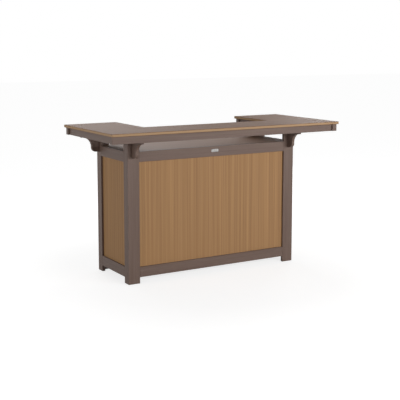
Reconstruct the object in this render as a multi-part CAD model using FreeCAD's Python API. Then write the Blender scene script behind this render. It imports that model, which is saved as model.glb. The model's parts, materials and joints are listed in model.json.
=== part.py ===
import FreeCAD, Part
import math
import os

# An outdoor serving bar in two-tone poly lumber: a U-shaped top on a panelled cabinet with corner legs.
# Millimetres. +Z is up, the guests' side faces -Y, the origin is on the floor under the middle of the top.

# Bar top
top_width = 1829.0
top_depth = 796.0
top_height = 1067.0
top_thickness = 19.0
wing_width = 400.0
strip_depth = 342.0
top_edge_round = 1.5
top_corner_round = 2.5

# Boards under the top, on edge
apron_thickness = 38.0
apron_height = 50.0
apron_margin = 11.0          # edge of the top to the outermost board ends
apron_reveal = 10.0          # board ends stand this far proud of the faces that meet them

# Cabinet frame
front_overhang = 248.0       # edge of the top to the cabinet's front
side_overhang = 228.5        # end of the top to the cabinet's side
board_thickness = 22.0
leg_face_width = 86.0
leg_side_width = 44.0        # side board behind the face board
rail_height = 72.0
serving_gap = 84.0           # boards under the top down to the top rails
rail_floor_gap = 43.0        # floor to the bottom rails
panel_thickness = 13.0
panel_recess = 13.5          # faces of the boards back to the panels in their rebates
edge_ease = 1.5

# Corbels, measured out from the leg and down from the top
corbel_height = 177.0
corbel_belly = 58.0
corbel_belly_round = 31.0
corbel_nose_height = 71.0
corbel_hollow_radius = 70.0
corbel_nose_length = 11.0

# Work counter and shelves
sheet_thickness = 19.0
sheet_clearance = 1.0
cleat_height = 38.0
cleat_thickness = 22.0
shelf_rail_height = 44.0

# Blank plate on the front top rail
plate_width = 58.0
plate_height = 21.0
plate_thickness = 1.5
plate_corner = 3.0
plate_drop = 30.0            # upper edge of the rail to the middle of the plate

# Screws and angle brackets
shank_radius = 2.1
head_radius = 4.2
head_height = 2.6
head_round = 1.2
recess_width = 2.4
recess_depth = 1.5
tip_length = 4.0
screw_bite = 16.0            # thread length in the board that it holds
sheet_bite = 12.0
corbel_bite = 30.0
panel_bite = 9.0
hole_clearance = 0.15
drill_lead = 1.0
front_rail_screws = 5
side_rail_screws = 3
panel_screws_per_bay = 2
corbel_screw_inset = 38.0    # top of the corbel down to its upper screw
corbel_screw_spacing = 70.0
bracket_leaf = 38.0
bracket_width = 18.0
bracket_thickness = 2.5
bracket_bend = 3.0
bracket_hole_share = 0.6     # share of a leaf from the bend to its hole
leg_bracket_inset = 17.0     # inner edge of the leg to the middle of its bracket
apron_screw_inset = 36.0     # outer edge of the leg to its screw into the apron
front_brackets = 4
front_bracket_spacing = 380.0
side_bracket_spacing = 300.0
rear_bracket_spacing = 380.0

# Levels and faces worked out from the sizes above
top_under = top_height - top_thickness
apron_under = top_under - apron_height
rail_top_level = apron_under - serving_gap
half_top = top_width / 2
front_edge = -top_depth / 2
back_edge = top_depth / 2
half_cabinet = half_top - side_overhang
cabinet_front = front_edge + front_overhang
cabinet_back = back_edge - apron_margin - apron_thickness
leg_inner = half_cabinet - leg_face_width
side_inner = half_cabinet - board_thickness
panel_face = half_cabinet - panel_recess
panel_inner = panel_face - panel_thickness
front_inner = cabinet_front + board_thickness
front_panel_face = cabinet_front + panel_recess
front_panel_back = front_panel_face + panel_thickness
back_inner = cabinet_back - board_thickness
rail_bottom_top = rail_floor_gap + rail_height
counter_level = rail_top_level
counter_under = counter_level - sheet_thickness
bottom_shelf_level = rail_bottom_top + sheet_thickness
middle_shelf_level = (bottom_shelf_level + counter_level) / 2
notch_half = half_top - wing_width
strip_edge = front_edge + strip_depth
apron_face = apron_margin + apron_reveal
apron_inner = apron_face + apron_thickness

nodes = {}


def block(x_pair, y_pair, z_pair):
    low = FreeCAD.Vector(min(x_pair), min(y_pair), min(z_pair))
    size = [max(pair) - min(pair) for pair in (x_pair, y_pair, z_pair)]
    return Part.makeBox(size[0], size[1], size[2], low)


def board(name, x_pair, y_pair, z_pair):
    solid = block(x_pair, y_pair, z_pair)
    nodes[name] = solid.makeFillet(edge_ease, solid.Edges)


def spaced(count, low, high):
    # Middles of equal stretches between two ends
    step = (high - low) / count
    return [low + step * (i + 0.5) for i in range(count)]


def between(count, low, high):
    # The lines between those stretches
    step = (high - low) / count
    return [low + step * i for i in range(1, count)]


def is_upright(edge):
    first, last = edge.Vertexes[0].Point, edge.Vertexes[-1].Point
    return abs(first.z - last.z) > top_thickness / 2


def is_flat(edge):
    box = edge.BoundBox
    return box.ZMax - box.ZMin < top_edge_round / 2


def make_top():
    sheet = block((-half_top, half_top), (front_edge, back_edge), (top_under, top_height))
    past = back_edge + top_thickness
    notch = block((-notch_half, notch_half), (strip_edge, past), (top_under, top_height))
    sheet = sheet.cut(notch)
    sheet = sheet.makeFillet(top_corner_round, [e for e in sheet.Edges if is_upright(e)])
    nodes["bar_top"] = sheet.makeFillet(top_edge_round, [e for e in sheet.Edges if is_flat(e)])


def make_aprons():
    # The front board's left end shows, and its right end meets the right side board's inner face
    z_pair = (apron_under, top_under)
    front_face = front_edge + apron_face
    front_back = front_edge + apron_inner
    outer = half_top - apron_margin
    right_back = outer - apron_thickness
    board("front_apron", (-outer, right_back), (front_face, front_back), z_pair)
    left_x = (apron_face - half_top, apron_inner - half_top)
    board("left_side_apron", left_x, (front_back, cabinet_back), z_pair)
    board("right_side_apron", (right_back, outer), (front_edge + apron_margin, cabinet_back), z_pair)
    inner_face = notch_half + apron_face
    inner_back = notch_half + apron_inner
    rear_back = strip_edge - apron_face
    rear_front = strip_edge - apron_inner
    board("rear_apron", (-inner_back, inner_back), (rear_front, rear_back), z_pair)
    for side, sign in (("left", -1), ("right", 1)):
        back_ends = (sign * (notch_half + apron_margin), sign * outer)
        back_faces = (cabinet_back, back_edge - apron_margin)
        board(side + "_wing_back_apron", back_ends, back_faces, z_pair)
        inner_x = (sign * inner_face, sign * inner_back)
        board(side + "_wing_inner_apron", inner_x, (rear_back, cabinet_back), z_pair)


def make_legs():
    z_pair = (0, top_under)
    for side, sign in (("left", -1), ("right", 1)):
        face_x = (sign * half_cabinet, sign * leg_inner)
        side_x = (sign * half_cabinet, sign * side_inner)
        board("front_" + side + "_leg_face", face_x, (cabinet_front, front_inner), z_pair)
        board("front_" + side + "_leg_side", side_x, (front_inner, front_inner + leg_side_width), z_pair)
        board("back_" + side + "_leg_face", face_x, (back_inner, cabinet_back), z_pair)
        board("back_" + side + "_leg_side", side_x, (back_inner - leg_side_width, back_inner), z_pair)


def make_rails():
    front_y = (cabinet_front, front_inner)
    back_y = (back_inner, cabinet_back)
    side_y = (front_inner + leg_side_width, back_inner - leg_side_width)
    long_x = (-leg_inner, leg_inner)
    levels = {
        "top": (rail_top_level - rail_height, rail_top_level),
        "bottom": (rail_floor_gap, rail_bottom_top),
    }
    for place, z_pair in levels.items():
        board("front_" + place + "_rail", long_x, front_y, z_pair)
        for side, sign in (("left", -1), ("right", 1)):
            side_x = (sign * half_cabinet, sign * side_inner)
            board(side + "_" + place + "_rail", side_x, side_y, z_pair)
    board("back_top_rail", long_x, back_y, (counter_under - rail_height, counter_under))
    board("back_bottom_rail", long_x, back_y, levels["bottom"])
    shelf_under = middle_shelf_level - sheet_thickness
    board("middle_shelf_rail", long_x, back_y, (shelf_under - shelf_rail_height, shelf_under))


def make_panels():
    # Each panel lies in a rebate cut in the boards around it
    z_pair = (rail_floor_gap, counter_under)
    front_y = (front_panel_face, front_panel_back)
    panels = {"front": block((-side_inner, side_inner), front_y, z_pair)}
    boards = {"front": ["front_left_leg_face", "front_right_leg_face"]}
    for side, sign in (("left", -1), ("right", 1)):
        panel_x = (sign * panel_face, sign * panel_inner)
        panels[side] = block(panel_x, (front_panel_back, back_inner), z_pair)
        boards[side] = ["front_" + side + "_leg_side", "back_" + side + "_leg_side"]
    for side, panel in panels.items():
        for name in boards[side] + [side + "_top_rail", side + "_bottom_rail"]:
            nodes[name] = nodes[name].cut(panel)
        nodes[side + "_panel"] = panel


def corbel_profile():
    # Outline in a plane whose first axis runs out from the leg and whose second is the height
    bottom = top_under - corbel_height
    hollow_top = top_under - corbel_nose_height
    hollow_level = hollow_top - corbel_hollow_radius
    hollow_end = corbel_belly + corbel_hollow_radius
    nose = hollow_end + corbel_nose_length
    slant = math.sqrt(0.5)
    belly_centre = (corbel_belly - corbel_belly_round, bottom + corbel_belly_round)
    belly_mid = (belly_centre[0] + corbel_belly_round * slant, belly_centre[1] - corbel_belly_round * slant)
    hollow_mid = (hollow_end - corbel_hollow_radius * slant, hollow_level + corbel_hollow_radius * slant)

    def at(pair):
        return FreeCAD.Vector(pair[0], 0, pair[1])

    root_low = at((0, bottom))
    belly_start = at((belly_centre[0], bottom))
    belly_end = at((corbel_belly, belly_centre[1]))
    hollow_start = at((corbel_belly, hollow_level))
    hollow_stop = at((hollow_end, hollow_top))
    nose_low = at((nose, hollow_top))
    nose_top = at((nose, top_under))
    root_top = at((0, top_under))
    edges = [
        Part.LineSegment(root_low, belly_start),
        Part.Arc(belly_start, at(belly_mid), belly_end),
        Part.LineSegment(belly_end, hollow_start),
        Part.Arc(hollow_start, at(hollow_mid), hollow_stop),
        Part.LineSegment(hollow_stop, nose_low),
        Part.LineSegment(nose_low, nose_top),
        Part.LineSegment(nose_top, root_top),
        Part.LineSegment(root_top, root_low),
    ]
    return Part.Face(Part.Wire([edge.toShape() for edge in edges]))


def make_corbels():
    plate = corbel_profile().extrude(FreeCAD.Vector(0, board_thickness, 0))
    plate.translate(FreeCAD.Vector(0, -board_thickness / 2, 0))
    plate = plate.makeFillet(edge_ease, plate.Edges)
    up = FreeCAD.Vector(0, 0, 1)
    face_middle = half_cabinet - leg_face_width / 2
    side_middle = cabinet_back - (board_thickness + leg_side_width) / 2
    seats = {
        "front_left_corbel": ((-face_middle, cabinet_front), -90),
        "front_right_corbel": ((face_middle, cabinet_front), -90),
        "left_side_corbel": ((-half_cabinet, side_middle), 180),
        "right_side_corbel": ((half_cabinet, side_middle), 0),
    }
    for name, (seat, turn) in seats.items():
        corbel = plate.copy()
        corbel.rotate(FreeCAD.Vector(0, 0, 0), up, turn)
        corbel.translate(FreeCAD.Vector(seat[0], seat[1], 0))
        nodes[name] = corbel


def make_sheet(name, level, side_face, front_face):
    # A sheet inside those faces, with a tongue that reaches back between the back legs
    z_pair = (level - sheet_thickness, level)
    half = side_face - sheet_clearance
    tongue = leg_inner - sheet_clearance
    front = front_face + sheet_clearance
    main = block((-half, half), (front, back_inner - sheet_clearance), z_pair)
    back = block((-tongue, tongue), (front, cabinet_back), z_pair)
    solid = main.fuse(back).removeSplitter()
    nodes[name] = solid.makeFillet(edge_ease, solid.Edges)


def make_cleats(name, level):
    z_pair = (level - sheet_thickness - cleat_height, level - sheet_thickness)
    front_y = (front_panel_back, front_panel_back + cleat_thickness)
    board("front_" + name + "_cleat", (-panel_inner, panel_inner), front_y, z_pair)
    for side, sign in (("left", -1), ("right", 1)):
        side_x = (sign * panel_inner, sign * (panel_inner - cleat_thickness))
        board(side + "_" + name + "_cleat", side_x, (front_y[1], back_inner), z_pair)


def make_plate():
    middle = rail_top_level - plate_drop
    faces_y = (cabinet_front - plate_thickness, cabinet_front)
    z_pair = (middle - plate_height / 2, middle + plate_height / 2)
    solid = block((-plate_width / 2, plate_width / 2), faces_y, z_pair)
    corners = [e for e in solid.Edges if e.BoundBox.YLength > plate_thickness / 2]
    nodes["blank_plate"] = solid.makeFillet(plate_corner, corners)


def make_screw(length):
    # Pan head on the plane z = 0, shank down, square recess in the head
    head = Part.makeCylinder(head_radius, head_height)
    rim = [e for e in head.Edges if e.BoundBox.ZMin > head_height / 2]
    head = head.makeFillet(head_round, rim)
    shank = Part.makeCylinder(shank_radius, length - tip_length, FreeCAD.Vector(0, 0, tip_length - length))
    tip = Part.makeCone(0, shank_radius, tip_length, FreeCAD.Vector(0, 0, -length))
    half = recess_width / 2
    recess = block((-half, half), (-half, half), (head_height - recess_depth, head_height))
    return head.fuse([shank, tip]).removeSplitter().cut(recess)


def drive(name, screws, boards):
    # Screws are (seat, direction, length); every board named is drilled for them
    down = FreeCAD.Vector(0, 0, -1)
    made = {}
    solids = []
    holes = []
    for seat, direction, length in screws:
        place = FreeCAD.Placement(FreeCAD.Vector(*seat), FreeCAD.Rotation(down, FreeCAD.Vector(*direction)))
        if length not in made:
            made[length] = make_screw(length)
        screw = made[length].copy()
        screw.Placement = place
        solids.append(screw)
        low = FreeCAD.Vector(0, 0, -length - hole_clearance)
        hole = Part.makeCylinder(shank_radius + hole_clearance, length + hole_clearance + drill_lead, low)
        hole.Placement = place.multiply(hole.Placement)
        holes.append(hole)
    for board_name in boards:
        box = nodes[board_name].BoundBox
        near = [hole for hole in holes if hole.BoundBox.intersect(box)]
        nodes[board_name] = nodes[board_name].cut(near)
    if name in nodes:
        solids = nodes[name].Solids + solids
    nodes[name] = Part.makeCompound(solids)


def drive_cleats(group, cleats, level, backing, bite):
    # Level screws through each cleat and the panel behind it, and upright ones into the sheet above
    under = level - sheet_thickness
    middle = under - cleat_height / 2
    cleat_front = front_panel_back + cleat_thickness
    reach = cleat_thickness + bite
    level_screws = []
    upright_screws = []
    front_middle = front_panel_back + cleat_thickness / 2
    lift = cleat_height + sheet_bite
    for x in spaced(front_rail_screws, -panel_inner, panel_inner):
        level_screws.append(((x, cleat_front, middle), (0, -1, 0), reach))
    for x in between(front_rail_screws, -panel_inner, panel_inner):
        upright_screws.append(((x, front_middle, under - cleat_height), (0, 0, 1), lift))
    for sign in (-1, 1):
        face = sign * (panel_inner - cleat_thickness)
        side_middle = sign * (panel_inner - cleat_thickness / 2)
        for y in spaced(side_rail_screws, cleat_front, back_inner):
            level_screws.append(((face, y, middle), (sign, 0, 0), reach))
        for y in between(side_rail_screws, cleat_front, back_inner):
            upright_screws.append(((side_middle, y, under - cleat_height), (0, 0, 1), lift))
    cleat_names = [side + "_" + cleats + "_cleat" for side in ("front", "left", "right")]
    panel_names = ["front_panel", "left_panel", "right_panel"]
    sheets = {"counter": "work_counter", "shelf": "middle_shelf", "base": "bottom_shelf"}
    drive(group, level_screws, cleat_names + panel_names + backing)
    drive("sheet_screws", upright_screws, cleat_names + [sheets[cleats]])


def drive_panels():
    # From inside, through the panels into the leg boards, in the two bays between the sheets
    cleat_drop = sheet_thickness + cleat_height
    lower = spaced(panel_screws_per_bay, bottom_shelf_level, middle_shelf_level - cleat_drop)
    upper = spaced(panel_screws_per_bay, middle_shelf_level, counter_level - cleat_drop)
    reach = panel_thickness + panel_bite
    face_middle = (leg_inner + panel_inner) / 2
    front_middle = (front_panel_back + front_inner + leg_side_width) / 2
    back_middle = back_inner - leg_side_width / 2
    screws = []
    for sign in (-1, 1):
        for z in lower + upper:
            screws.append(((sign * face_middle, front_panel_back, z), (0, -1, 0), reach))
            for y in (front_middle, back_middle):
                screws.append(((sign * panel_inner, y, z), (sign, 0, 0), reach))
    boards = ["front_panel"]
    for side in ("left", "right"):
        boards += [side + "_panel", "front_" + side + "_leg_face"]
        boards += ["front_" + side + "_leg_side", "back_" + side + "_leg_side"]
    drive("panel_screws", screws, boards)


def drive_corbels():
    reach = board_thickness + corbel_bite
    upper = top_under - corbel_screw_inset
    face_middle = half_cabinet - leg_face_width / 2
    side_middle = cabinet_back - (board_thickness + leg_side_width) / 2
    screws = []
    for sign in (-1, 1):
        for z in (upper, upper - corbel_screw_spacing):
            screws.append(((sign * face_middle, front_inner, z), (0, -1, 0), reach))
            screws.append(((sign * side_inner, side_middle, z), (sign, 0, 0), reach))
    boards = []
    for side in ("left", "right"):
        boards += ["front_" + side + "_leg_face", "back_" + side + "_leg_side"]
        boards += ["front_" + side + "_corbel", side + "_side_corbel"]
    drive("corbel_screws", screws, boards)


def drive_aprons():
    reach = board_thickness + screw_bite
    middle = top_under - apron_height / 2
    screws = []
    boards = []
    for side, sign in (("left", -1), ("right", 1)):
        seat = (sign * (half_cabinet - apron_screw_inset), back_inner, middle)
        screws.append((seat, (0, 1, 0), reach))
        boards += ["back_" + side + "_leg_face", side + "_wing_back_apron"]
    drive("apron_screws", screws, boards)


def make_bracket():
    # Upright leaf against the wall y = 0, level leaf against the plane z = 0
    half = bracket_width / 2
    upright = block((-half, half), (0, bracket_thickness), (-bracket_leaf, 0))
    level = block((-half, half), (0, bracket_leaf), (-bracket_thickness, 0))
    angle = upright.fuse(level).removeSplitter()
    inner = [e for e in angle.Edges if is_inner_bend(e)]
    angle = angle.makeFillet(bracket_bend, inner)
    reach = bracket_leaf * bracket_hole_share
    radius = shank_radius + hole_clearance
    lead = bracket_thickness + 2 * drill_lead
    hole_a = Part.makeCylinder(radius, lead, FreeCAD.Vector(0, -drill_lead, -reach), FreeCAD.Vector(0, 1, 0))
    low_b = FreeCAD.Vector(0, reach, -bracket_thickness - drill_lead)
    hole_b = Part.makeCylinder(radius, lead, low_b)
    return angle.cut([hole_a, hole_b])


def is_inner_bend(edge):
    # The edge along X where the two leaves meet inside the angle
    middle = edge.BoundBox.Center
    at_bend = abs(middle.y - bracket_thickness) + abs(middle.z + bracket_thickness) < bracket_thickness / 2
    return at_bend and edge.BoundBox.XLength > bracket_width / 2


def make_brackets():
    front_back = front_edge + apron_inner
    rear_front = strip_edge - apron_inner
    inner_back = notch_half + apron_inner
    leg_x = leg_inner + leg_bracket_inset
    wing_y = (strip_edge - apron_face + cabinet_back) / 2
    left_back = apron_inner - half_top
    right_back = half_top - apron_margin - apron_thickness
    spots = []
    for i in range(front_brackets):
        x = (i - (front_brackets - 1) / 2) * front_bracket_spacing
        spots.append((x, front_back, (0, 1)))
    for sign in (-1, 1):
        spots.append((sign * rear_bracket_spacing / 2, rear_front, (0, -1)))
        spots.append((sign * leg_x, front_inner, (0, 1)))
        spots.append((sign * leg_x, back_inner, (0, -1)))
        spots.append((sign * inner_back, wing_y, (sign, 0)))
        spots.append((left_back, sign * side_bracket_spacing / 2, (1, 0)))
        spots.append((right_back, sign * side_bracket_spacing / 2, (-1, 0)))
    angle = make_bracket()
    reach = bracket_leaf * bracket_hole_share
    length = bracket_thickness + sheet_bite
    solids = []
    screws = []
    for x, y, way in spots:
        bracket = angle.copy()
        turn = math.degrees(math.atan2(way[1], way[0])) - 90
        bracket.rotate(FreeCAD.Vector(0, 0, 0), FreeCAD.Vector(0, 0, 1), turn)
        bracket.translate(FreeCAD.Vector(x, y, top_under))
        solids.append(bracket)
        wall_seat = (x + way[0] * bracket_thickness, y + way[1] * bracket_thickness, top_under - reach)
        screws.append((wall_seat, (-way[0], -way[1], 0), length))
        top_seat = (x + way[0] * reach, y + way[1] * reach, top_under - bracket_thickness)
        screws.append((top_seat, (0, 0, 1), length))
    nodes["top_brackets"] = Part.makeCompound(solids)
    boards = ["bar_top", "front_apron", "rear_apron"]
    for side in ("left", "right"):
        boards += [side + "_side_apron", side + "_wing_inner_apron"]
        boards += ["front_" + side + "_leg_face", "back_" + side + "_leg_face"]
    drive("bracket_screws", screws, boards)


make_top()
make_aprons()
make_legs()
make_rails()
make_panels()
make_corbels()
make_sheet("work_counter", counter_level, side_inner, front_inner)
make_sheet("middle_shelf", middle_shelf_level, panel_inner, front_panel_back)
make_sheet("bottom_shelf", bottom_shelf_level, panel_inner, front_panel_back)
make_cleats("counter", counter_level)
make_cleats("shelf", middle_shelf_level)
make_cleats("base", bottom_shelf_level)
make_plate()
rail_bite = panel_thickness + panel_bite
top_rails = ["front_top_rail", "left_top_rail", "right_top_rail"]
bottom_rails = ["front_bottom_rail", "left_bottom_rail", "right_bottom_rail"]
drive_cleats("rail_screws", "counter", counter_level, top_rails, rail_bite)
drive_cleats("rail_screws", "base", bottom_shelf_level, bottom_rails, rail_bite)
drive_cleats("shelf_cleat_screws", "shelf", middle_shelf_level, [], panel_bite)
drive_panels()
drive_corbels()
drive_aprons()
make_brackets()

os.makedirs("parts", exist_ok=True)
for name, shape in nodes.items():
    shape.exportStep("parts/" + name + ".step")
print(len(nodes), "nodes written")
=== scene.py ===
# Looks for the two-tone outdoor serving bar, in metres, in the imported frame.
import bmesh
import bpy
import json
import math
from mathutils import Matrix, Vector


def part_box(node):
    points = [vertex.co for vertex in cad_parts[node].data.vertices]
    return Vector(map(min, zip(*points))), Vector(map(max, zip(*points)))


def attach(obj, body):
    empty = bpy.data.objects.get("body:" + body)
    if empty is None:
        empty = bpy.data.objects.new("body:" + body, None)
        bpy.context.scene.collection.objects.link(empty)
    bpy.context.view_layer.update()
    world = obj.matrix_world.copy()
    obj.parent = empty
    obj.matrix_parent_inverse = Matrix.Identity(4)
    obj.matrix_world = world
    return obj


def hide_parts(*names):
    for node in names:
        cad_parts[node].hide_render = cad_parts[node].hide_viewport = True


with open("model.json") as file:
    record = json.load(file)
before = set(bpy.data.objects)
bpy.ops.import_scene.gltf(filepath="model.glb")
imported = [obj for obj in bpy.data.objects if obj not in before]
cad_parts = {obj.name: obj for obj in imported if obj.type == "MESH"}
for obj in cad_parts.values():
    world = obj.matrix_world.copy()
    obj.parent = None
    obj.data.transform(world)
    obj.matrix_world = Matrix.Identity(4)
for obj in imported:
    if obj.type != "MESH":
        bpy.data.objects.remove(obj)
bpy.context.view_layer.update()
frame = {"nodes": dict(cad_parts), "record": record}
cadNodes = frame["nodes"]
slotOf = {row["node"]: row["material_slot"] for row in frame["record"]["subparts"]}
print("frame loaded:", len(cadNodes), "nodes")

# The view of the photograph, from in front of the left end and a little above
cameraView = {
    "place": (-3.2751, -5.4696, 1.6438),
    "turn": 30.65,              # degrees from straight ahead towards the right
    "tilt": 7.555,              # degrees down from level
    "focalPixels": 888.2,
    "shift": -0.1,              # the photograph's upright lines stay nearly parallel
    "imageSize": 400,
    "sensor": 36.0,
}


def makeCamera():
    bpy.ops.object.camera_add(location=cameraView["place"])
    camera = bpy.context.object
    camera.name = "photoCamera"
    camera.rotation_euler = (math.radians(90 - cameraView["tilt"]), 0, math.radians(-cameraView["turn"]))
    camera.data.sensor_width = cameraView["sensor"]
    camera.data.lens = cameraView["focalPixels"] / cameraView["imageSize"] * cameraView["sensor"]
    camera.data.shift_y = cameraView["shift"]
    bpy.context.scene.camera = camera


# Node helpers
def addNode(tree, kind, **settings):
    node = tree.nodes.new(kind)
    for key, value in settings.items():
        setattr(node, key, value)
    return node


def feed(tree, value, socket):
    # A socket is linked, anything else is set as the socket's own value
    if isinstance(value, bpy.types.NodeSocket):
        tree.links.new(value, socket)
    else:
        socket.default_value = value


def calc(tree, operation, first, second, clamp=False):
    node = addNode(tree, "ShaderNodeMath", operation=operation, use_clamp=clamp)
    feed(tree, first, node.inputs[0])
    feed(tree, second, node.inputs[1])
    return node.outputs[0]


def remap(tree, value, low, high, newLow=0.0, newHigh=1.0):
    node = addNode(tree, "ShaderNodeMapRange")
    for socket, item in zip(node.inputs, (value, low, high, newLow, newHigh)):
        feed(tree, item, socket)
    return node.outputs[0]


def addShares(tree, first, second, shares):
    # The sum of two values, each times its share
    parts = [calc(tree, "MULTIPLY", value, share) for value, share in zip((first, second), shares)]
    return calc(tree, "ADD", *parts)


def mixColours(tree, factor, first, second):
    node = addNode(tree, "ShaderNodeMix", data_type="RGBA")
    feed(tree, factor, node.inputs["Factor"])
    feed(tree, first, node.inputs[6])
    feed(tree, second, node.inputs[7])
    return node.outputs[2]


def opaque(colour):
    return (colour[0], colour[1], colour[2], 1.0)


def noiseOf(tree, vector, scale, detail=2.0, rough=0.5):
    mapping = addNode(tree, "ShaderNodeMapping")
    feed(tree, vector, mapping.inputs["Vector"])
    mapping.inputs["Scale"].default_value = scale
    noise = addNode(tree, "ShaderNodeTexNoise")
    tree.links.new(mapping.outputs[0], noise.inputs["Vector"])
    noise.inputs["Scale"].default_value = 1.0
    noise.inputs["Detail"].default_value = detail
    noise.inputs["Roughness"].default_value = rough
    return noise.outputs["Fac"]


def bumpOf(tree, height, distance):
    node = addNode(tree, "ShaderNodeBump")
    node.inputs["Distance"].default_value = distance
    feed(tree, height, node.inputs["Height"])
    return node.outputs["Normal"]


def edgeMask(tree, radius, turn):
    # 1 along outside edges, 0 on flats
    bevel = addNode(tree, "ShaderNodeBevel", samples=4)
    bevel.inputs["Radius"].default_value = radius
    geometry = addNode(tree, "ShaderNodeNewGeometry")
    dot = addNode(tree, "ShaderNodeVectorMath", operation="DOT_PRODUCT")
    tree.links.new(bevel.outputs[0], dot.inputs[0])
    tree.links.new(geometry.outputs["Normal"], dot.inputs[1])
    return remap(tree, dot.outputs["Value"], *turn)


noiseSpan = (0.3, 0.7)          # where most of a noise's values lie
streakDetail = (3.0, 0.6)       # detail and roughness of noise that is drawn out into streaks


def newFinish(name):
    finish = bpy.data.materials.new(name)
    finish.use_nodes = True
    tree = finish.node_tree
    shader = tree.nodes["Principled BSDF"]
    coords = addNode(tree, "ShaderNodeTexCoord").outputs["Object"]
    return finish, tree, shader, coords


# Brown boards: poly lumber with brushed grain along each board
boardFinish = {
    "dark": (0.101, 0.062, 0.047),
    "pale": (0.146, 0.098, 0.078),
    # Paler colour laid along the outside edges as a painted highlight
    "edge": (0.200, 0.145, 0.122),
    "edgeHighlightAmount": 0.35,
    "edgeRadius": 0.0016,
    "edgeTurn": (0.99, 0.75),   # cosine of the edge's turn where the painted highlight starts and where it is full
    "streaks": 330.0,           # per metre across the grain
    "streakStretch": 5.0,       # per metre along it
    "bands": 42.0,
    "bandStretch": 1.6,
    "speckle": 900.0,
    "speckleDetail": 1.0,
    "toneShares": (0.55, 0.45),     # of streaks and bands
    "toneSpan": (0.32, 0.68),
    "roughShares": (0.7, 0.3),  # of streaks and speckle
    "speckleRelief": 0.25,
    "boardShift": 6.0,          # metres that the pattern moves from board to board
    "shiftWay": (1.0, 0.7, 0.4),
    "roughness": (0.46, 0.60),
    "specular": 0.26,
    "relief": 0.00025,
}


def grainScale(axis, along, across):
    scale = [across, across, across]
    scale[axis] = along
    return scale


def makeBoardFinish(axis):
    b = boardFinish
    finish, tree, shader, coords = newFinish("brownBoard" + "XYZ"[axis])
    info = addNode(tree, "ShaderNodeObjectInfo")
    shift = addNode(tree, "ShaderNodeVectorMath", operation="SCALE")
    shift.inputs[0].default_value = b["shiftWay"]
    feed(tree, calc(tree, "MULTIPLY", info.outputs["Random"], b["boardShift"]), shift.inputs["Scale"])
    place = addNode(tree, "ShaderNodeVectorMath", operation="ADD")
    tree.links.new(coords, place.inputs[0])
    tree.links.new(shift.outputs[0], place.inputs[1])
    spot = place.outputs[0]
    streak = noiseOf(tree, spot, grainScale(axis, b["streakStretch"], b["streaks"]), *streakDetail)
    band = noiseOf(tree, spot, grainScale(axis, b["bandStretch"], b["bands"]))
    speckle = noiseOf(tree, spot, (b["speckle"],) * 3, b["speckleDetail"])
    tone = remap(tree, addShares(tree, streak, band, b["toneShares"]), *b["toneSpan"])
    colour = mixColours(tree, tone, opaque(b["dark"]), opaque(b["pale"]))
    # Painted highlight: the paler edge colour mixed in along the outside edges
    paintedEdgeHighlight = calc(tree, "MULTIPLY", edgeMask(tree, b["edgeRadius"], b["edgeTurn"]), b["edgeHighlightAmount"])
    colour = mixColours(tree, paintedEdgeHighlight, colour, opaque(b["edge"]))
    feed(tree, colour, shader.inputs["Base Color"])
    rough = addShares(tree, streak, speckle, b["roughShares"])
    feed(tree, remap(tree, rough, *noiseSpan, *b["roughness"]), shader.inputs["Roughness"])
    height = calc(tree, "ADD", streak, calc(tree, "MULTIPLY", speckle, b["speckleRelief"]))
    feed(tree, bumpOf(tree, height, b["relief"]), shader.inputs["Normal"])
    shader.inputs["Specular IOR Level"].default_value = b["specular"]
    return finish


# Two-tone sheet: brown faces over a tan core that the cut edges show
sheetFinish = {
    "dark": (0.128, 0.062, 0.031),
    "pale": (0.172, 0.089, 0.048),
    "core": (0.390, 0.248, 0.135),
    "coreDark": (0.325, 0.198, 0.100),
    "capDepth": 0.0026,
    "capBlur": 0.0002,
    "streaks": 210.0,
    "streakStretch": 3.0,
    "bands": 24.0,
    "bandStretch": 0.9,
    "pebble": 700.0,
    "cutterLines": 1400.0,
    "cutterStretch": 9.0,
    "toneShares": (0.5, 0.5),   # of streaks and bands
    "toneSpan": (0.32, 0.68),
    "roughShares": (0.4, 0.6),  # of streaks and pebble
    "reliefShares": (0.6, 0.4),
    "roughness": (0.60, 0.72),
    "specular": 0.25,
    "sheen": {"work_counter": 0.46},    # rubbed smoother than the rest
    "relief": 0.0002,
}


def makeSheetFinish(nodeName):
    s = sheetFinish
    low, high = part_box(nodeName)
    finish, tree, shader, coords = newFinish("sheet_" + nodeName)
    split = addNode(tree, "ShaderNodeSeparateXYZ")
    tree.links.new(coords, split.inputs[0])
    level = split.outputs["Z"]
    fromTop = calc(tree, "SUBTRACT", high.z, level)
    fromUnder = calc(tree, "SUBTRACT", level, low.z)
    depth = calc(tree, "MINIMUM", fromTop, fromUnder)
    cap = remap(tree, depth, s["capDepth"] + s["capBlur"], s["capDepth"] - s["capBlur"])
    streak = noiseOf(tree, coords, grainScale(0, s["streakStretch"], s["streaks"]), *streakDetail)
    band = noiseOf(tree, coords, grainScale(0, s["bandStretch"], s["bands"]))
    pebble = noiseOf(tree, coords, (s["pebble"],) * 3)
    cutter = noiseOf(tree, coords, grainScale(2, s["cutterLines"], s["cutterStretch"]))
    tone = remap(tree, addShares(tree, streak, band, s["toneShares"]), *s["toneSpan"])
    face = mixColours(tree, tone, opaque(s["dark"]), opaque(s["pale"]))
    core = mixColours(tree, remap(tree, cutter, *noiseSpan), opaque(s["coreDark"]), opaque(s["core"]))
    feed(tree, mixColours(tree, cap, core, face), shader.inputs["Base Color"])
    rough = addShares(tree, streak, pebble, s["roughShares"])
    feed(tree, remap(tree, rough, *noiseSpan, *s["roughness"]), shader.inputs["Roughness"])
    height = addShares(tree, streak, pebble, s["reliefShares"])
    feed(tree, bumpOf(tree, height, s["relief"]), shader.inputs["Normal"])
    shader.inputs["Specular IOR Level"].default_value = s["sheen"].get(nodeName, s["specular"])
    return finish


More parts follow.
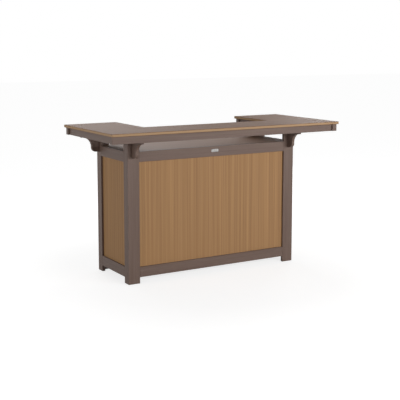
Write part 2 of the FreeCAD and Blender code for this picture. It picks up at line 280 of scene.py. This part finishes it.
# Tan panels: one sheet with straight upright grain
panelFinish = {
    "dark": (0.235, 0.117, 0.040),
    "pale": (0.345, 0.188, 0.075),
    "broad": (6.0, 0.2),        # streaks per metre across, and along
    "middle": (56.0, 0.3),
    "fine": (118.0, 0.9),
    "shares": (0.08, 0.38, 0.54),
    "toneSpan": (0.37, 0.63),
    "middleRelief": 0.6,
    "roughness": (0.68, 0.80),
    "specular": 0.5,
    "relief": 0.0002,
}


def makePanelFinish():
    p = panelFinish
    finish, tree, shader, coords = newFinish("tanPanel")
    dot = addNode(tree, "ShaderNodeVectorMath", operation="DOT_PRODUCT")
    tree.links.new(coords, dot.inputs[0])
    dot.inputs[1].default_value = (1.0, 1.0, 0.0)   # across the front panel and the end panels alike
    split = addNode(tree, "ShaderNodeSeparateXYZ")
    tree.links.new(coords, split.inputs[0])
    flat = addNode(tree, "ShaderNodeCombineXYZ")
    tree.links.new(dot.outputs["Value"], flat.inputs["X"])
    tree.links.new(split.outputs["Z"], flat.inputs["Z"])
    layers = []
    for key in ("broad", "middle", "fine"):
        across, along = p[key]
        layers.append(noiseOf(tree, flat.outputs[0], (across, 1.0, along)))
    tone = 0.0
    for layer, share in zip(layers, p["shares"]):
        tone = calc(tree, "ADD", calc(tree, "MULTIPLY", layer, share), tone)
    tone = remap(tree, tone, *p["toneSpan"])
    feed(tree, mixColours(tree, tone, opaque(p["dark"]), opaque(p["pale"])), shader.inputs["Base Color"])
    middle, fine = layers[1:]
    feed(tree, remap(tree, fine, *noiseSpan, *p["roughness"]), shader.inputs["Roughness"])
    height = calc(tree, "ADD", fine, calc(tree, "MULTIPLY", middle, p["middleRelief"]))
    feed(tree, bumpOf(tree, height, p["relief"]), shader.inputs["Normal"])
    shader.inputs["Specular IOR Level"].default_value = p["specular"]
    return finish


# Stainless fasteners and brackets, and the satin plate
steelFinish = {
    "dark": (0.50, 0.50, 0.49),
    "pale": (0.70, 0.70, 0.69),
    "brush": (60.0, 1500.0),    # lines per metre along, and across
    "roughness": (0.24, 0.40),
    "relief": 0.00003,
}
plateFinish = {
    "dark": (0.130, 0.127, 0.122),
    "pale": (0.178, 0.175, 0.169),
    "brush": (90.0, 2600.0),
    "roughness": (0.42, 0.55),
    "relief": 0.00002,
}


def makeMetalFinish(name, m):
    finish, tree, shader, coords = newFinish(name)
    along, across = m["brush"]
    brush = noiseOf(tree, coords, (along, across, across), *streakDetail)
    colour = mixColours(tree, brush, opaque(m["dark"]), opaque(m["pale"]))
    feed(tree, colour, shader.inputs["Base Color"])
    feed(tree, remap(tree, brush, *noiseSpan, *m["roughness"]), shader.inputs["Roughness"])
    feed(tree, bumpOf(tree, brush, m["relief"]), shader.inputs["Normal"])
    shader.inputs["Metallic"].default_value = 1.0
    return finish


# Blank plate on the front rail: rounded corners, a raised rim and a sunk field
plateShape = {
    "corner": 0.003,
    "cornerSteps": 6,
    "rim": 0.0022,
    "sink": 0.0005,
    "rimRound": 0.0003,
    "rimSteps": 2,
    "smoothAngle": 40,          # degrees
}


def selectWhere(mesh, kind, test):
    # Selects the vertices, edges or faces of the mesh in edit mode that pass the test
    shape = bmesh.from_edit_mesh(mesh)
    for group in (shape.verts, shape.edges, shape.faces):
        for item in group:
            item.select_set(False)
    for item in getattr(shape, kind):
        if test(item):
            item.select_set(True)
    bmesh.update_edit_mesh(mesh)


def runsThrough(edge):
    # Along the plate's thickness
    ends = edge.verts
    return abs(ends[0].co.y - ends[1].co.y) > 0.5 * edge.calc_length()


def facesFront(face):
    return face.normal.y < -0.99


def makePlate():
    p = plateShape
    low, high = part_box("blank_plate")
    bpy.ops.object.select_all(action="DESELECT")
    bpy.ops.mesh.primitive_cube_add(size=1.0, location=(low + high) / 2)
    plate = bpy.context.object
    plate.name = "blankPlate"
    plate.scale = high - low
    bpy.ops.object.transform_apply(location=True, rotation=True, scale=True)
    bpy.ops.object.mode_set(mode="EDIT")
    bpy.ops.mesh.select_mode(type="EDGE")
    selectWhere(plate.data, "edges", runsThrough)
    bpy.ops.mesh.bevel(offset=p["corner"], segments=p["cornerSteps"], affect="EDGES")
    bpy.ops.mesh.select_mode(type="FACE")
    selectWhere(plate.data, "faces", facesFront)
    bpy.ops.mesh.bevel(offset=p["rimRound"], segments=p["rimSteps"], affect="EDGES")
    selectWhere(plate.data, "faces", facesFront)
    bpy.ops.mesh.inset(thickness=p["rim"])
    bpy.ops.mesh.inset(thickness=p["rimRound"], depth=-p["sink"])
    bpy.ops.object.mode_set(mode="OBJECT")
    bpy.ops.object.shade_smooth_by_angle(angle=math.radians(p["smoothAngle"]))
    plate.data.materials.append(makeMetalFinish("satinPlate", plateFinish))
    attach(plate, "root")
    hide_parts("blank_plate")


def longAxis(nodeName):
    low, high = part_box(nodeName)
    sizes = list(high - low)
    return sizes.index(max(sizes))


def dressFrame():
    boards = [makeBoardFinish(axis) for axis in range(3)]
    panel = makePanelFinish()
    steel = makeMetalFinish("brushedSteel", steelFinish)
    for name, node in cadNodes.items():
        if slotOf[name] == "frame_board":
            finish = boards[longAxis(name)]
        elif slotOf[name] == "top_sheet":
            finish = makeSheetFinish(name)
        elif slotOf[name] == "panel_sheet":
            finish = panel
        else:
            finish = steel
        for place in node.material_slots:
            place.material = finish


# Floor, background and lights
stageSet = {
    "floorSide": 60.0,
    "floorColour": (0.42, 0.42, 0.42, 1.0),
    "floorRoughness": 0.9,
    "floorWhiteAndPaintedShade": (0.76, 0.97),     # white added to what camera and gloss see: lower near the bar as painted shade around it, full far off
    "whiteReach": (1.0, 3.2),       # metres from the middle of the bar where the painted shade starts to fade and where it ends
    "backdrop": (1.0, 1.0, 1.0, 1.0),
    "fill": 0.02,                   # the world's own light
}
softboxes = {
    "overheadBox": {
        "place": (1.3, 0.2, 3.2), "aim": (0.1, 0.1, 1.0),
        "size": (2.0, 2.0), "power": 6.0,
    },
    "rearHighBox": {
        "place": (0.2, 3.4, 2.9), "aim": (0.0, 0.0, 1.0),
        "size": (2.6, 1.6), "power": 57.0,
    },
    "frontRightBox": {
        "place": (2.2, -5.15, 1.6), "aim": (0.1, 0.0, 1.6),
        "size": (5.2, 2.2), "power": 294.0,
    },
    "leftBox": {
        "place": (-4.8, 0.2, 1.5), "aim": (0.0, 0.2, 1.5),
        "size": (4.0, 1.3), "power": 50.0,
    },
    "frontLeftBox": {
        "place": (-4.6, -3.0, 1.1), "aim": (0.0, 0.0, 0.9),
        "size": (2.4, 1.9), "power": 46.0,
    },
    "rearLeftBox": {
        "place": (-2.8, 4.0, 1.9), "aim": (-2.8, 0.0, 1.9),
        "size": (3.6, 2.0), "power": 26.0,
    },
    "rearRightBox": {
        "place": (5.3, 4.0, 1.35), "aim": (5.3, 0.0, 1.35),
        "size": (3.0, 2.3), "power": 200.0,
    },
}


def seenRays(tree):
    # 1 for camera, gloss and transmission rays
    path = addNode(tree, "ShaderNodeLightPath")
    seen = calc(tree, "ADD", path.outputs["Is Camera Ray"], path.outputs["Is Glossy Ray"], True)
    return calc(tree, "ADD", seen, path.outputs["Is Transmission Ray"], True)


def makeStage():
    bpy.ops.object.select_all(action="DESELECT")
    bpy.ops.mesh.primitive_plane_add(size=stageSet["floorSide"])
    floor = bpy.context.object
    floor.name = "studioFloor"
    finish = bpy.data.materials.new("paleFloor")
    finish.use_nodes = True
    tree = finish.node_tree
    shader = tree.nodes["Principled BSDF"]
    shader.inputs["Base Color"].default_value = stageSet["floorColour"]
    shader.inputs["Roughness"].default_value = stageSet["floorRoughness"]
    shader.inputs["Specular IOR Level"].default_value = 0.0
    white = addNode(tree, "ShaderNodeEmission")
    coords = addNode(tree, "ShaderNodeTexCoord").outputs["Object"]
    reach = addNode(tree, "ShaderNodeVectorMath", operation="LENGTH")
    tree.links.new(coords, reach.inputs[0])
    # Painted shade: less white is added to the floor near the bar than far off
    whiteAndPaintedShade = remap(tree, reach.outputs["Value"], *stageSet["whiteReach"], *stageSet["floorWhiteAndPaintedShade"])
    feed(tree, calc(tree, "MULTIPLY", seenRays(tree), whiteAndPaintedShade), white.inputs["Strength"])
    both = addNode(tree, "ShaderNodeAddShader")
    tree.links.new(shader.outputs[0], both.inputs[0])
    tree.links.new(white.outputs[0], both.inputs[1])
    tree.links.new(both.outputs[0], tree.nodes["Material Output"].inputs["Surface"])
    floor.data.materials.append(finish)

    world = bpy.data.worlds.new("studioWorld")
    bpy.context.scene.world = world
    world.use_nodes = True
    tree = world.node_tree
    fill = tree.nodes["Background"]
    fill.inputs["Color"].default_value = stageSet["backdrop"]
    fill.inputs["Strength"].default_value = stageSet["fill"]
    backdrop = addNode(tree, "ShaderNodeBackground")
    backdrop.inputs["Color"].default_value = stageSet["backdrop"]
    mix = addNode(tree, "ShaderNodeMixShader")
    feed(tree, seenRays(tree), mix.inputs[0])
    tree.links.new(fill.outputs[0], mix.inputs[1])
    tree.links.new(backdrop.outputs[0], mix.inputs[2])
    tree.links.new(mix.outputs[0], tree.nodes["World Output"].inputs["Surface"])

    for name, box in softboxes.items():
        bpy.ops.object.light_add(type="AREA", location=box["place"])
        lamp = bpy.context.object
        lamp.name = name
        aim = Vector(box["aim"]) - Vector(box["place"])
        lamp.rotation_euler = aim.to_track_quat("-Z", "Y").to_euler()
        lamp.data.shape = "RECTANGLE"
        lamp.data.size, lamp.data.size_y = box["size"]
        lamp.data.energy = box["power"]
        lamp.visible_camera = False


makeCamera()
print("camera set")
dressFrame()
print("finishes on", len(cadNodes), "nodes")
makePlate()
print("plate modelled")
makeStage()
print("stage set with", len(softboxes), "softboxes")
bpy.context.scene.view_settings.view_transform = "Standard"
